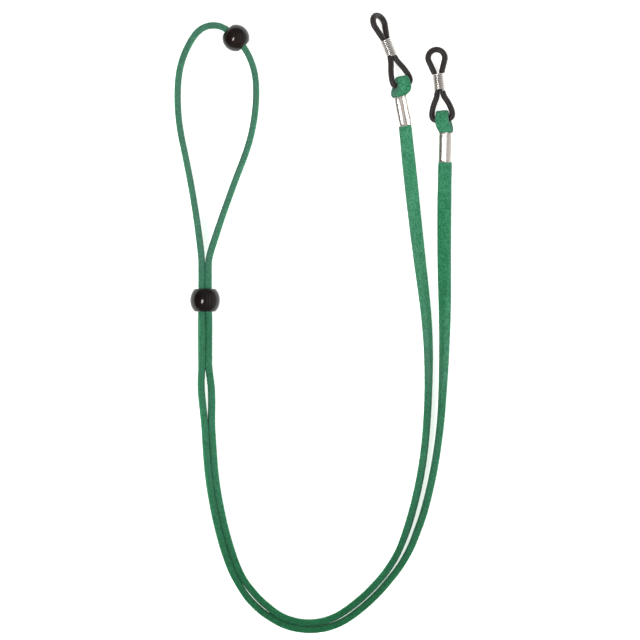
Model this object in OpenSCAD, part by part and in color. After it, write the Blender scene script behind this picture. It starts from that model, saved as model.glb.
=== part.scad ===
// Eyeglass retainer strap: one long suede lace that makes a neck loop, runs
// doubled through a slider bead, turns round a wide bend and ends in two
// folded eyes, each closed by a crimped ferrule and holding an elastic
// figure-of-eight temple loop cinched by a wire coil.
// The strap lies on the plane Z = 0. +Y runs from the bend to the loop.

/* [Strap lace] */
// Width of the flat lace
strap_w = 4.1; // [3.9:0.05:4.15]
// Thickness of the flat lace
strap_t = 1.9; // [1.7:0.05:1.9]
// Gap between the two lengths where they run side by side
pair_gap = 0.06; // [0.04:0.01:0.1]
// Height of the lace's centre line at the beads
bead_lift = 4.4; // [4.35:0.05:4.6]
// Downward slope of the doubled run, from the slider to the bend
run_slope = 2.45; // [2.2:0.05:2.5]

/* [Slider bead] */
// Largest radius of the barrel-shaped slider
slider_r = 4.4; // [4.2:0.05:4.5]
// Length of the slider along the lace
slider_len = 6.7; // [6:0.1:7.2]
// Radius of the slider's bore
slider_bore_r = 2.5; // [2.5:0.01:2.6]
// Distance from the top of the doubled run to the slider's centre
slider_at = 10.7; // [9:0.1:13]

/* [Round bead] */
// Radius of the round bead on the loop
round_r = 4.0; // [3.8:0.1:4.2]
// Radius of the round bead's bore
round_bore_r = 2.15; // [2.15:0.01:2.3]
// Position of the round bead along its arc, degrees from the arc's start
round_at = 10.5; // [10:0.5:20]

/* [Ferrules] */
// Outer width of a ferrule
ferrule_w = 4.3; // [4.2:0.05:4.5]
// Outer thickness of a ferrule
ferrule_t = 3.9; // [3.8:0.05:4.1]
// Wall of a ferrule
ferrule_wall = 0.35; // [0.3:0.05:0.4]
// Length of a ferrule
ferrule_len = 8.75; // [8:0.05:9]
// Gap between the rolled edges of a ferrule's seam
ferrule_seam = 0.3; // [0.2:0.05:0.5]

/* [Elastic temple loops] */
// Radius of the elastic cord
cord_r = 0.83; // [0.75:0.01:0.85]
// Running clearance of the cord in the strap's folded eye
eye_clear = 0.05; // [0.03:0.01:0.08]
// Radius of the squeezed neck under the coil
neck_r = 1.25; // [1.2:0.01:1.26]
// Centre-line radius of the upper loop's arc
loop_r = 2.49; // [2.4:0.01:2.6]
// Distance from the folded eye to the upper loop's tip
loop_reach = 21.1; // [20.6:0.1:21.6]
// Radius of the land inside the upper loop that grips a temple
grip_r = 1.7; // [1.68:0.01:1.74]

/* [Wire coils] */
// Radius of the coil's wire
wire_r = 0.25; // [0.2:0.01:0.26]
// Mean radius of the coil
coil_r = 1.56; // [1.54:0.01:1.6]
// Turns of wire in a coil
coil_turns = 9; // [8:0.5:9.5]
// Distance from the folded eye to the coil's middle
coil_at = 10.95; // [10.9:0.05:11.05]

/* [Hidden] */
$fn = 48;

suede_green = [0.23, 0.56, 0.40];
slider_black = [0.05, 0.04, 0.04];
round_black = [0.07, 0.04, 0.04];
ferrule_silver = [0.83, 0.84, 0.86];
elastic_black = [0.12, 0.10, 0.10];
wire_silver = [0.80, 0.81, 0.83];

// ---- bend tables: rows of [length, turn in degrees], a left turn is positive ----
// A place is [x, y, heading].
// Top of the doubled run, on the line midway between its two lengths
run_start = [-32.3, 17.545, -90];
half_gap = (strap_t + pair_gap) / 2;
// Level part of the doubled run, then the sloping bend
run_straight = [[24, 0], [31.5, 4]];
run_bend = [[31.5, 15.5], [20.5, 39], [22, 65.5], [18.5, 20]];
// From the end of the bend to each arm's flex line
left_lead = [[4, 6.7]];
right_lead = [[4, 3.7]];
// Arms, from the flex line to the ferrule
left_bends = [[6.5, 10.2], [31.5, 14.2], [25.5, 6.6], [15, 5.4], [51.2, -1.4]];
right_bends = [[18, 17], [30.5, 11.8], [35.5, 4.4], [36.5, -2.3]];
// Neck loop, from the top of one length of the run round to the other. The
// two zero lengths are solved below so that the loop closes.
open_loop = [[3, 6.5], [0, 6], [18.6, -17], [14.5, -31], [10.4, -90],
             [18.9, -52], [22.8, -24], [0, 4], [3, 17.5]];
solved_rows = [1, 7];
round_bead_row = 5;

function arc_length(radius, turn) = radius * abs(turn) * PI / 180;
// signed radius of a curved row
function bend_radius(row) = row[0] / (row[1] * PI / 180);
function chord(length, turn) =
    turn == 0 ? length : length * sin(turn / 2) / (turn / 2 * PI / 180);
function step(place, row) =
    let (span = chord(row[0], row[1]), heading = place[2] + row[1] / 2)
    [place[0] + span * cos(heading), place[1] + span * sin(heading), place[2] + row[1]];
// place after the first count rows, and after all of them
function walk(place, rows, count) =
    count == 0 ? place : step(walk(place, rows, count - 1), rows[count - 1]);
function reach(place, rows) = walk(place, rows, len(rows));
// place after a given distance along the rows
function along(place, rows, distance, i = 0) =
    i == len(rows) - 1 || distance <= rows[i][0]
    ? step(place, [distance, rows[i][0] == 0 ? 0 : rows[i][1] * distance / rows[i][0]])
    : along(step(place, rows[i]), rows, distance - rows[i][0], i + 1);
function total(rows, count) = count == 0 ? 0 : rows[count - 1][0] + total(rows, count - 1);
// place moved to its own left
function side(place, offset) =
    [place[0] - offset * sin(place[2]), place[1] + offset * cos(place[2]), place[2]];
function plan(place) = [place[0], place[1]];

// ---- loop closure: each length moves the end along its own chord ----
loop_from = side(run_start, -half_gap);
loop_to = side(run_start, half_gap);
loop_start = [loop_from[0], loop_from[1], 90];
function unit_chord(i) =
    plan(step([0, 0, walk(loop_start, open_loop, i)[2]], [1, open_loop[i][1]]));
loop_gap = plan(loop_to) - plan(reach(loop_start, open_loop));
first_chord = unit_chord(solved_rows[0]);
second_chord = unit_chord(solved_rows[1]);
chord_cross = cross(first_chord, second_chord);
first_len = cross(loop_gap, second_chord) / chord_cross;
second_len = cross(first_chord, loop_gap) / chord_cross;
loop_rows = [for (i = [0:len(open_loop) - 1])
    [i == solved_rows[0] ? first_len : i == solved_rows[1] ? second_len : open_loop[i][0],
     open_loop[i][1]]];

// ---- heights: the loop and the straight run lie level; past an upright knee
// the rest of the run lies in a plane that slopes down along the knee's heading
knee = reach(run_start, run_straight);
knee_r = 60;
knee_advance = knee_r * sin(run_slope);
knee_drop = knee_r * (1 - cos(run_slope));
run_end = reach(knee, run_bend);
// [x, y, heading, height] on the slope of a place laid out flat
function sloped(place) =
    let (heading = knee[2],
         dx = place[0] - knee[0],
         dy = place[1] - knee[1],
         down = dx * cos(heading) + dy * sin(heading),
         across = dy * cos(heading) - dx * sin(heading),
         level = knee_advance + down * cos(run_slope),
         turn = place[2] - heading)
    [knee[0] + level * cos(heading) - across * sin(heading),
     knee[1] + level * sin(heading) + across * cos(heading),
     heading + atan2(sin(turn), cos(turn) * cos(run_slope)),
     bead_lift - knee_drop - down * sin(run_slope)];
function flat_flex(offset, rows) = reach(side(run_end, offset), rows);
left_flex = sloped(flat_flex(half_gap, left_lead));
right_flex = sloped(flat_flex(-half_gap, right_lead));

// ---- fits: how the parts at each arm's end lie ----
// Columns: place and height of the ferrule's foot, then heading, pitch and roll
// of the ferrule, plan offset from foot to eye, heading of the eye, pitch of the
// temple loop, twist of the upper loop, extra neck length, shift of the coil
FOOT = 0;
HEIGHT = 1;
HEADING = 2;
PITCH = 3;
ROLL = 4;
EYE_OFFSET = 5;
EYE_HEADING = 6;
LOOP_PITCH = 7;
TWIST = 8;
NECK_EXTRA = 9;
COIL_SHIFT = 10;
left_fit = [reach(left_flex, left_bends), 2.25, 101.2, 5.6, 30,
            [-0.66, 11.85], 106, -7.6, 20, 0.86, 0.77];
right_fit = [reach(right_flex, right_bends), 2.1, 88.7, 4.9, -12,
             [-0.75, 12.45], 97.7, -10.3, 12, -0.2, 0.15];

module at_fit(fit, position, height, heading)
    translate([position[0], position[1], height])
        rotate([0, 0, heading]) rotate([0, -fit[PITCH], 0]) rotate([fit[ROLL], 0, 0])
            children();
module at_ferrule(fit) at_fit(fit, fit[FOOT], fit[HEIGHT], fit[HEADING]) children();
module at_eye(fit)
    at_fit(fit, plan(fit[FOOT]) + fit[EYE_OFFSET],
           fit[HEIGHT] + sin(fit[PITCH]) * norm(fit[EYE_OFFSET]), fit[EYE_HEADING])
        children();
// the temple loop turns about the bar, local Y
module at_loop(fit) at_eye(fit) rotate([0, -fit[LOOP_PITCH], 0]) children();

// ---- rows of a bend table ----
module at_place(place) translate([place[0], place[1], 0]) rotate([0, 0, place[2]]) children();
function trim_angle(radius, trim) = trim / abs(radius) * 180 / PI;
function sweep_angle(row, trim) = abs(row[1]) - 2 * trim_angle(bend_radius(row), trim);
// frame of a curved row: the centre of its arc, turned to the sweep's first end
module at_bend(place, row, trim) {
    radius = bend_radius(row);
    sweep_start = row[1] > 0 ? place[2] - 90 : place[2] + 90 + row[1];
    translate([place[0] - radius * sin(place[2]), place[1] + radius * cos(place[2]), 0])
        rotate([0, 0, sweep_start + trim_angle(radius, trim)])
            children();
}

// ---- lace standing on edge ----
// each row stops short by a hair at both ends, and a collar that stands
// slightly proud bridges each joint between rows
row_trim = 0.04;
collar_up = 0.01;
module stadium(thick, wide) {
    square([thick, wide - thick], center = true);
    for (s = [-1, 1]) translate([0, s * (wide - thick) / 2]) circle(d = thick);
}
module lace_row(place, row, offset) {
    if (row[1] == 0)
        at_place(place) translate([row_trim, offset, 0])
            rotate([90, 0, 90]) linear_extrude(row[0] - 2 * row_trim) stadium(strap_t, strap_w);
    else
        at_bend(place, row, row_trim)
            rotate_extrude(angle = sweep_angle(row, row_trim), $fn = 96)
                translate([abs(bend_radius(row)) + (row[1] > 0 ? -offset : offset), 0])
                    stadium(strap_t, strap_w);
}
module collar(place, offset = 0, from = -0.2, to = 0.2)
    at_place(place) translate([from, offset, 0])
        rotate([90, 0, 90]) linear_extrude(to - from)
            stadium(strap_t + 2 * collar_up, strap_w + 2 * collar_up);
module lace(place, rows, offset = 0)
    for (i = [0:len(rows) - 1]) {
        lace_row(walk(place, rows, i), rows[i], offset);
        if (i > 0) collar(walk(place, rows, i), offset);
    }

// round nose at a flex line: the lace's section turned half a circle
module nose(place)
    at_place(place) rotate([0, 0, -90]) rotate_extrude(angle = 180) intersection() {
        stadium(strap_t, strap_w);
        translate([0, -strap_w]) square([strap_t, 2 * strap_w]);
    }
// short upright bend where the run starts to slope down
module knee_row(offset) {
    trim = trim_angle(knee_r, row_trim);
    translate([knee[0], knee[1], bead_lift - knee_r]) rotate([0, 0, knee[2]])
        translate([0, offset, 0]) rotate([-90, 0, 0]) rotate([0, 0, -90 + trim])
            rotate_extrude(angle = run_slope - 2 * trim, $fn = 96)
                translate([knee_r, 0]) rotate(90) stadium(strap_t, strap_w);
}
module on_slope()
    translate([knee[0], knee[1], bead_lift]) rotate([0, 0, knee[2]])
        translate([knee_advance, 0, -knee_drop]) rotate([0, run_slope, 0])
            rotate([0, 0, -knee[2]]) translate([-knee[0], -knee[1], 0])
                children();
// end of one length of the run, up to its flex line
module lead(offset, rows) {
    flex = flat_flex(offset, rows);
    lace(side(run_end, offset), rows);
    collar(flex, from = -0.3, to = 0.1);
    nose(flex);
}

module strap_back()
    color(suede_green) {
        translate([0, 0, bead_lift]) lace(loop_start, loop_rows);
        for (offset = [-half_gap, half_gap]) {
            translate([0, 0, bead_lift]) {
                lace(run_start, run_straight, offset);
                collar(run_start, offset);
                collar(knee, offset);
            }
            knee_row(offset);
            on_slope() {
                collar(knee, offset);
                lace(knee, run_bend, offset);
                collar(run_end, offset);
            }
        }
        on_slope() {
            lead(half_gap, left_lead);
            lead(-half_gap, right_lead);
        }
    }

// faces of a tube of point rings, closed at both ends
function tube_faces(spans, sides) = concat(
    [[for (i = [0:sides - 1]) i]],
    [for (k = [0:spans - 1]) for (i = [0:sides - 1])
        let (j = (i + 1) % sides, ring = k * sides, next = ring + sides)
        each [[ring + i, next + j, ring + j], [ring + i, next + i, next + j]]],
    [[for (i = [0:sides - 1]) spans * sides + sides - 1 - i]]);

// ---- arms: swept lace that twists from on edge to face up ----
section_points = 14;
arm_step = 2.6;
// distance from the flex line to the arm's first section
flex_gap = 1.15;
// length before the ferrule over which the lace changes to the core's width
widen_len = 3;
// the squeezed lace clears the ferrule's bore by half of this all round
core_play = 0.06;
core_w = ferrule_w - 2 * ferrule_wall - core_play;
core_t = ferrule_t - 2 * ferrule_wall - core_play;
// length of core standing out at the ferrule's foot and at its eye end
core_out_foot = 0.35;
core_out_eye = 1.4;
ferrule_corner = 1.4;
bore_corner = ferrule_corner - ferrule_wall;
// the eye's cheeks taper back from just inside its rim to this end
cheek_back = 2.75;
cheek_half = 1.75;
cheek_inset = 0.02;

function smooth(x) = let (t = max(0, min(1, x))) t * t * (3 - 2 * t);
// points of the rounded section, across and up before the roll
function section(wide) = [for (i = [0:section_points - 1])
    let (a = 360 * (i + 0.5) / section_points)
    [cos(a) * strap_t / 2 + (cos(a) > 0 ? 1 : -1) * (wide - strap_t) / 2,
     sin(a) * strap_t / 2]];
function rolled(point, place, height, roll) =
    let (across = point[0] * cos(roll) - point[1] * sin(roll),
         up = point[0] * sin(roll) + point[1] * cos(roll))
    [place[0] - across * sin(place[2]), place[1] + across * cos(place[2]), height + up];

// the roll changes between two fractions of the arm's length
module arm_sweep(start, rows, fit, start_roll, twist_from, twist_to) {
    length = total(rows, len(rows));
    spans = ceil((length - flex_gap) / arm_step);
    points = [for (k = [0:spans])
        let (s = flex_gap + (length - flex_gap) * k / spans,
             place = along(start, rows, s),
             wide = strap_w + (core_w - strap_w) * smooth((s - length + widen_len) / widen_len),
             height = start[3] + (fit[HEIGHT] - start[3]) * s / length,
             twist = smooth((s - twist_from * length) / ((twist_to - twist_from) * length)),
             roll = start_roll + (fit[ROLL] - start_roll) * twist)
        for (point = section(wide)) rolled(point, place, height, roll)];
    polyhedron(points = points, faces = tube_faces(spans, section_points), convexity = 8);
}

module rounded(wide, high, corner) {
    square([wide - 2 * corner, high], center = true);
    square([wide, high - 2 * corner], center = true);
    for (x = [-1, 1]) for (y = [-1, 1])
        translate([x * (wide / 2 - corner), y * (high / 2 - corner)]) circle(r = corner);
}
// lace squeezed inside the ferrule, standing out a little at each mouth
module core(fit)
    at_ferrule(fit) translate([-core_out_foot, 0, 0]) rotate([90, 0, 90])
        linear_extrude(ferrule_len + core_out_foot + core_out_eye)
            rounded(core_w, core_t, bore_corner);
// the folded eye that holds the cord's bar
module fold(fit) {
    bore_r = cord_r + eye_clear;
    outer_r = bore_r + strap_t;
    rim = outer_r - cheek_inset;
    at_eye(fit) rotate([90, 0, 0]) linear_extrude(strap_w, center = true) difference() {
        union() {
            circle(r = outer_r);
            polygon([[0, -rim], [-cheek_back, -cheek_half], [-cheek_back, cheek_half], [0, rim]]);
        }
        circle(r = bore_r);
    }
}

module strap_left_arm()
    color(suede_green) {
        arm_sweep(left_flex, left_bends, left_fit,
                  start_roll = 90, twist_from = 0.25, twist_to = 0.80);
        core(left_fit);
        fold(left_fit);
    }
module strap_right_arm()
    color(suede_green) {
        arm_sweep(right_flex, right_bends, right_fit,
                  start_roll = -90, twist_from = 0.18, twist_to = 0.78);
        core(right_fit);
        fold(right_fit);
    }

// ---- beads ----
// radius of the arc that bulges the slider's side, and steps along it
barrel_r = 5.2;
barrel_steps = 14;
function barrel(y) = [slider_r - barrel_r + sqrt(barrel_r * barrel_r - y * y), y];
module slider_bead()
    color(slider_black)
        translate([run_start[0], run_start[1] - slider_at, bead_lift])
            rotate([90, 0, 0]) rotate_extrude($fn = 96)
                polygon(concat(
                    [[slider_bore_r, slider_len / 2], [slider_bore_r, -slider_len / 2]],
                    [for (i = [0:barrel_steps]) barrel(slider_len * (i / barrel_steps - 0.5))]));

// sideways shift of the round bead from the lace's centre line
round_shift = -0.12;
round_arc_r = abs(bend_radius(loop_rows[round_bead_row]));
round_place = step(walk(loop_start, loop_rows, round_bead_row),
                   [arc_length(round_arc_r, round_at), -round_at]);
module round_bead()
    color(round_black)
        translate([0, 0, bead_lift]) at_place(round_place)
            translate([0, round_shift, 0]) rotate([0, 90, 0]) rotate_extrude($fn = 96)
                intersection() {
                    circle(r = round_r);
                    translate([round_bore_r, -round_r]) square([round_r, 2 * round_r]);
                }

// ---- ferrules: a strip of sheet rolled round the folded lace ----
seam_cut = 1.6;
module ferrule(fit, seam_side)
    color(ferrule_silver)
        at_ferrule(fit) rotate([90, 0, 90]) linear_extrude(ferrule_len) difference() {
            rounded(ferrule_w, ferrule_t, ferrule_corner);
            rounded(ferrule_w - 2 * ferrule_wall, ferrule_t - 2 * ferrule_wall, bore_corner);
            translate([0, seam_side * ferrule_t / 2])
                square([ferrule_seam, seam_cut], center = true);
        }
module left_ferrule() ferrule(left_fit, seam_side = 1);
module right_ferrule() ferrule(right_fit, seam_side = -1);

// ---- elastic temple loop: bar, lower loop, squeezed neck, upper loop ----
// local X runs from the bar to the tip, local Y along the bar
bar_half = 2.12;
// neck's ends along X
neck_from = 6.6;
neck_to = 14.9;
// half of the lower loop, as a bend table from the bar's end
bar_corner_r = 0.95;
low_turn = 42.72;
low_rows = [[arc_length(bar_corner_r, 90), -90],
            [1, 0],
            [arc_length(3.5, low_turn), -low_turn],
            [1.264, 0],
            [arc_length(2.5, low_turn), low_turn]];
// half of the upper loop: a straight from the split, tangent to the tip's arc
split = [14.55, 0.65];
// the tip's outer edge lies this far beyond loop_reach
tip_extra = 0.83;
tip_centre = loop_reach - cord_r - loop_r + tip_extra;
split_run = tip_centre - split[0];
split_dist = norm([split_run, split[1]]);
flare = asin(loop_r / split_dist) - atan2(split[1], split_run);
up_rows = [[sqrt(split_dist * split_dist - loop_r * loop_r), 0],
           [arc_length(loop_r, 90 + flare), -(90 + flare)]];
grip_cut = 4;

// cord along a bend table, with short rows and collars like the lace's
cord_trim = 0.03;
cord_collar_up = 0.015;
cord_collar_len = 0.2;
module cord_row(place, row) {
    if (row[1] == 0)
        at_place(place) rotate([0, 90, 0]) translate([0, 0, cord_trim])
            cylinder(r = cord_r, h = row[0] - 2 * cord_trim, $fn = 32);
    else
        at_bend(place, row, cord_trim)
            rotate_extrude(angle = sweep_angle(row, cord_trim), $fn = 64)
                translate([abs(bend_radius(row)), 0]) circle(r = cord_r, $fn = 32);
}
module cord_collar(place)
    at_place(place) rotate([0, 90, 0])
        cylinder(r = cord_r + cord_collar_up, h = cord_collar_len, center = true, $fn = 32);
module cord(place, rows)
    for (i = [0:len(rows) - 1]) {
        cord_row(walk(place, rows, i), rows[i]);
        if (i > 0) cord_collar(walk(place, rows, i));
    }

module temple_loop(fit)
    color(elastic_black)
        at_loop(fit) {
            rotate([90, 0, 0])
                cylinder(r = cord_r, h = 2 * (bar_half - cord_trim), center = true, $fn = 32);
            for (m = [0, 1]) mirror([0, m, 0]) {
                cord_collar([0, bar_half, 90]);
                cord([0, bar_half, 90], low_rows);
            }
            translate([neck_from, 0, 0]) rotate([0, 90, 0])
                cylinder(r = neck_r, h = neck_to + fit[NECK_EXTRA] - neck_from);
            translate([fit[NECK_EXTRA], 0, 0]) rotate([fit[TWIST], 0, 0]) difference() {
                union() {
                    for (m = [0, 1]) mirror([0, m, 0]) cord([split[0], split[1], flare], up_rows);
                    cord_collar([tip_centre + loop_r, 0, -90]);
                }
                translate([tip_centre, 0, 0]) cylinder(r = grip_r, h = grip_cut, center = true);
            }
        }
module left_temple_loop() temple_loop(left_fit);
module right_temple_loop() temple_loop(right_fit);

// ---- coil: round wire wound on the neck ----
wire_sides = 8;
turn_steps = 16;
coil_pitch = 0.53;
function coil_point(k, i) =
    let (wind = 360 * k / turn_steps,
         a = 360 * (i + 0.5) / wire_sides,
         radius = coil_r + wire_r * cos(a))
    [coil_pitch * (k / turn_steps - coil_turns / 2) + wire_r * sin(a),
     radius * cos(wind), radius * sin(wind)];
module coil(fit) {
    spans = floor(coil_turns * turn_steps);
    points = [for (k = [0:spans]) for (i = [0:wire_sides - 1]) coil_point(k, i)];
    color(wire_silver)
        at_loop(fit) translate([coil_at + fit[COIL_SHIFT], 0, 0])
            polyhedron(points = points, faces = tube_faces(spans, wire_sides), convexity = 10);
}
module left_coil() coil(left_fit);
module right_coil() coil(right_fit);

strap_back();
strap_left_arm();
strap_right_arm();
slider_bead();
round_bead();
left_ferrule();
right_ferrule();
left_temple_loop();
right_temple_loop();
left_coil();
right_coil();
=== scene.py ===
"""A suede lace with a slider bead, a round bead and an elastic loop at each end.

The lace lies on the floor in the XY plane, with +Z up. It is doubled: from the hairpin loop at
the upper left (-X, +Y) two lengths run side by side down -Y through the slider, bend round
towards +X and part into a left and a right arm that rise towards +Y. Each arm ends in a crimped
ferrule, where the lace folds over a figure-of-eight cord that is bound at its neck by a wire coil.
Pieces are modelled in millimetres; the stage, lights and camera are in metres.
"""

import math
from types import SimpleNamespace

import bmesh
import bpy
import numpy as np
from mathutils import Matrix, Vector, noise


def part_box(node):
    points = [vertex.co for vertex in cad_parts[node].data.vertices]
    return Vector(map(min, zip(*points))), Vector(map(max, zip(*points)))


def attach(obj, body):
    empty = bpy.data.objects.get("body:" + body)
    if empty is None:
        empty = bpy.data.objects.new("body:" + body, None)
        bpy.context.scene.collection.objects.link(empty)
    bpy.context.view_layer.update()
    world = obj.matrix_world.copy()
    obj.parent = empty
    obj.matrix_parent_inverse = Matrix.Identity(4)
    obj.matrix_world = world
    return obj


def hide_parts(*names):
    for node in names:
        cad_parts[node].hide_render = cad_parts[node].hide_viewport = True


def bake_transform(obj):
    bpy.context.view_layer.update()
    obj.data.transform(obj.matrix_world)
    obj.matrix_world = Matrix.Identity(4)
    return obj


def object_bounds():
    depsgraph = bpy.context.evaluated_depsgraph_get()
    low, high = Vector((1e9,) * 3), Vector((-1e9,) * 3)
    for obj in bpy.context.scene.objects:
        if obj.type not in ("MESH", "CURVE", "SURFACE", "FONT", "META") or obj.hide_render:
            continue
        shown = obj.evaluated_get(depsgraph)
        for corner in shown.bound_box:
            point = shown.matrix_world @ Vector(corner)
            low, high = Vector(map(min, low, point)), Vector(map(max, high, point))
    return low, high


MM = 0.001


def bounds_lists():
    return [list(map(float, corner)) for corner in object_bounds()]


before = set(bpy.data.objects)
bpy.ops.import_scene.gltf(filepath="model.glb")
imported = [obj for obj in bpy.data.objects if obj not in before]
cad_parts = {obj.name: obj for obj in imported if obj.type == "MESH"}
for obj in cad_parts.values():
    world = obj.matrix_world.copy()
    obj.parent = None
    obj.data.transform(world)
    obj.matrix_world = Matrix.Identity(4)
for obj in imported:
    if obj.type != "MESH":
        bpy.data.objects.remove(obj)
cad_lo, cad_hi = bounds_lists()

# ------------------------------------------------------------------ detail
LACE_STEP = 0.30
LACE_SIDES = 36
FOLD_STEP = 0.22
CORD_STEP = 0.16
CORD_SIDES = 28
COIL_STEPS, COIL_SIDES = ((64, 14))
LATHE_STEPS = 160


# ------------------------------------------------------------------ poses in the plane
# A pose is (x, y, heading in degrees). A segment is (length, turn in degrees).
TRACE_STEP = 0.5


def cosd(angle):
    return math.cos(math.radians(angle))


def sind(angle):
    return math.sin(math.radians(angle))


def chord(length, turn):
    if abs(turn) < 1e-9:
        return length
    return length * sind(turn / 2) / math.radians(turn / 2)


def step(pose, segment):
    """The pose at the end of one arc segment."""
    length, turn = segment
    span = chord(length, turn)
    middle = pose[2] + turn / 2
    return (pose[0] + span * cosd(middle), pose[1] + span * sind(middle), pose[2] + turn)


def reach(pose, segments):
    for segment in segments:
        pose = step(pose, segment)
    return pose


def beside(pose, offset):
    """The pose moved to the left of its heading."""
    return (pose[0] - offset * sind(pose[2]), pose[1] + offset * cosd(pose[2]), pose[2])


def trace(pose, segments, offset=0.0):
    """Closely spaced poses along the segments, all moved left by offset."""
    poses = [beside(pose, offset)]
    for length, turn in segments:
        count = max(2, int(math.ceil(length / TRACE_STEP)))
        for k in range(1, count + 1):
            part = (length * k / count, turn * k / count)
            poses.append(beside(step(pose, part), offset))
        pose = step(pose, (length, turn))
    return poses


# ------------------------------------------------------------------ lace path
LACE_W, LACE_T = 4.1, 1.9
GAP = 0.06                      # between the two lengths of the doubled run
HALF_PITCH = (LACE_T + GAP) / 2
LIFT = 4.4                      # height of the lace's centre line at the beads
SLOPE, KNEE_R = 2.45, 60.0      # downward slope after the straight run, and the knee before it

RUN_START = (-32.3, 17.545, -90.0)
RUN_STRAIGHT = [(24, 0), (31.5, 4)]
RUN_BEND = [(31.5, 15.5), (20.5, 39), (22, 65.5), (18.5, 20)]
LEFT_LEAD, RIGHT_LEAD = [(4, 6.7)], [(4, 3.7)]
LEFT_BENDS = [(6.5, 10.2), (31.5, 14.2), (25.5, 6.6), (15, 5.4), (51.2, -1.4)]
RIGHT_BENDS = [(18, 17), (30.5, 11.8), (35.5, 4.4), (36.5, -2.3)]

# Hairpin loop. The lengths of the two free segments are worked out so that the loop closes.
LOOP_TURNS = [6.5, 6, -17, -31, -90, -52, -24, 4, 17.5]
LOOP_LENGTHS = [3, 0, 18.6, 14.5, 10.4, 18.9, 22.8, 0, 3]
FREE_FIRST, FREE_LAST = 1, 7
BEAD_SEGMENT = 5                # the round bead sits on this segment

KNEE = reach(RUN_START, RUN_STRAIGHT)


def sloped(pose):
    """A flat pose laid on the slope beyond the knee, as (x, y, heading, height)."""
    heading = KNEE[2]
    dx, dy = pose[0] - KNEE[0], pose[1] - KNEE[1]
    ahead = dx * cosd(heading) + dy * sind(heading)
    aside = dy * cosd(heading) - dx * sind(heading)
    level = KNEE_R * sind(SLOPE) + ahead * cosd(SLOPE)
    turn = pose[2] - heading
    return (KNEE[0] + level * cosd(heading) - aside * sind(heading),
            KNEE[1] + level * sind(heading) + aside * cosd(heading),
            heading + math.degrees(math.atan2(sind(turn), cosd(turn) * cosd(SLOPE))),
            LIFT - KNEE_R * (1 - cosd(SLOPE)) - ahead * sind(SLOPE))


def closed_loop(start, end):
    """Loop segments, with the free lengths solved so that the loop runs from start to end."""
    headings = [start[2]]
    for turn in LOOP_TURNS:
        headings.append(headings[-1] + turn)
    spans = [(chord(1, turn) * cosd(heading + turn / 2), chord(1, turn) * sind(heading + turn / 2))
             for turn, heading in zip(LOOP_TURNS, headings)]
    miss_x, miss_y = (
        end[axis] - start[axis] - sum(span[axis] * length
                                      for span, length in zip(spans, LOOP_LENGTHS))
        for axis in (0, 1))
    first, last = spans[FREE_FIRST], spans[FREE_LAST]
    det = first[0] * last[1] - first[1] * last[0]
    lengths = list(LOOP_LENGTHS)
    lengths[FREE_FIRST] = (miss_x * last[1] - miss_y * last[0]) / det
    lengths[FREE_LAST] = (first[0] * miss_y - first[1] * miss_x) / det
    return list(zip(lengths, LOOP_TURNS))


LOOP_START = (*beside(RUN_START, -HALF_PITCH)[:2], 90.0)
LOOP = closed_loop(LOOP_START, beside(RUN_START, HALF_PITCH))
RUN_END = reach(KNEE, RUN_BEND)
LEFT_FLEX = sloped(reach(beside(RUN_END, HALF_PITCH), LEFT_LEAD))
RIGHT_FLEX = sloped(reach(beside(RUN_END, -HALF_PITCH), RIGHT_LEAD))
LEFT_END = reach(LEFT_FLEX[:3], LEFT_BENDS)
RIGHT_END = reach(RIGHT_FLEX[:3], RIGHT_BENDS)

# How each arm and its end pieces lie:
#   sign                  +1 left, -1 right: side the lace's width turns to, and seam up or down
#   flex, bends           where the arm begins, and its path from there
#   roll_span             parts of the arm's length between which it rolls flat
#   early_roll            share of that roll already taken near the start
#   foot, z, head, pitch, roll   ferrule's foot, height and angles
#   eye, eye_head         centre and heading of the cord's bar
#   loop_pitch, twist     cord's own pitch, and the turn of its upper loop
#   longer, coil, thick   cord's extra length, coil's shift along it, upper loop's extra radius
#   fold_turn, fold_roll  how far the folded band lies askew over the cord
#   front, lean           sideways bulge of the fold's upper layer, sideways lean of the cord
LEFT = SimpleNamespace(
    side="left", sign=1, flex=LEFT_FLEX, bends=LEFT_BENDS, roll_span=(0.20, 1.00), early_roll=0.13,
    foot=LEFT_END[:2], z=2.25, head=101.2, pitch=5.6, roll=30.0,
    eye=(LEFT_END[0] - 0.66, LEFT_END[1] + 11.85), eye_head=106.0, loop_pitch=-7.6, twist=20.0,
    longer=0.86, coil=0.77, coil_phase=0.9, thick=0.05, fold_turn=-7.0, fold_roll=-19.0,
    front=0.42, lean=0.032)
RIGHT = SimpleNamespace(
    side="right", sign=-1, flex=RIGHT_FLEX, bends=RIGHT_BENDS, roll_span=(0.28, 1.02),
    early_roll=0.05, foot=RIGHT_END[:2], z=2.1, head=88.7, pitch=4.9, roll=-12.0,
    eye=(RIGHT_END[0] - 0.75, RIGHT_END[1] + 12.45), eye_head=97.7, loop_pitch=-10.3, twist=12.0,
    longer=-0.2, coil=0.15, coil_phase=2.2, thick=0.0, fold_turn=-3.5, fold_roll=3.0,
    front=0.0, lean=0.0)
FITS = (LEFT, RIGHT)


# ------------------------------------------------------------------ frames of the end pieces
# A frame is (origin, axes). The columns of axes are along, across and through the piece.
def turn_x(a):
    return np.array([[1, 0, 0], [0, cosd(a), -sind(a)], [0, sind(a), cosd(a)]])


def turn_y(a):
    return np.array([[cosd(a), 0, sind(a)], [0, 1, 0], [-sind(a), 0, cosd(a)]])


def turn_z(a):
    return np.array([[cosd(a), -sind(a), 0], [sind(a), cosd(a), 0], [0, 0, 1]])


def ferrule_frame(fit):
    axes = turn_z(fit.head) @ turn_y(-fit.pitch) @ turn_x(fit.roll)
    return np.array([*fit.foot, fit.z]), axes


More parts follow.
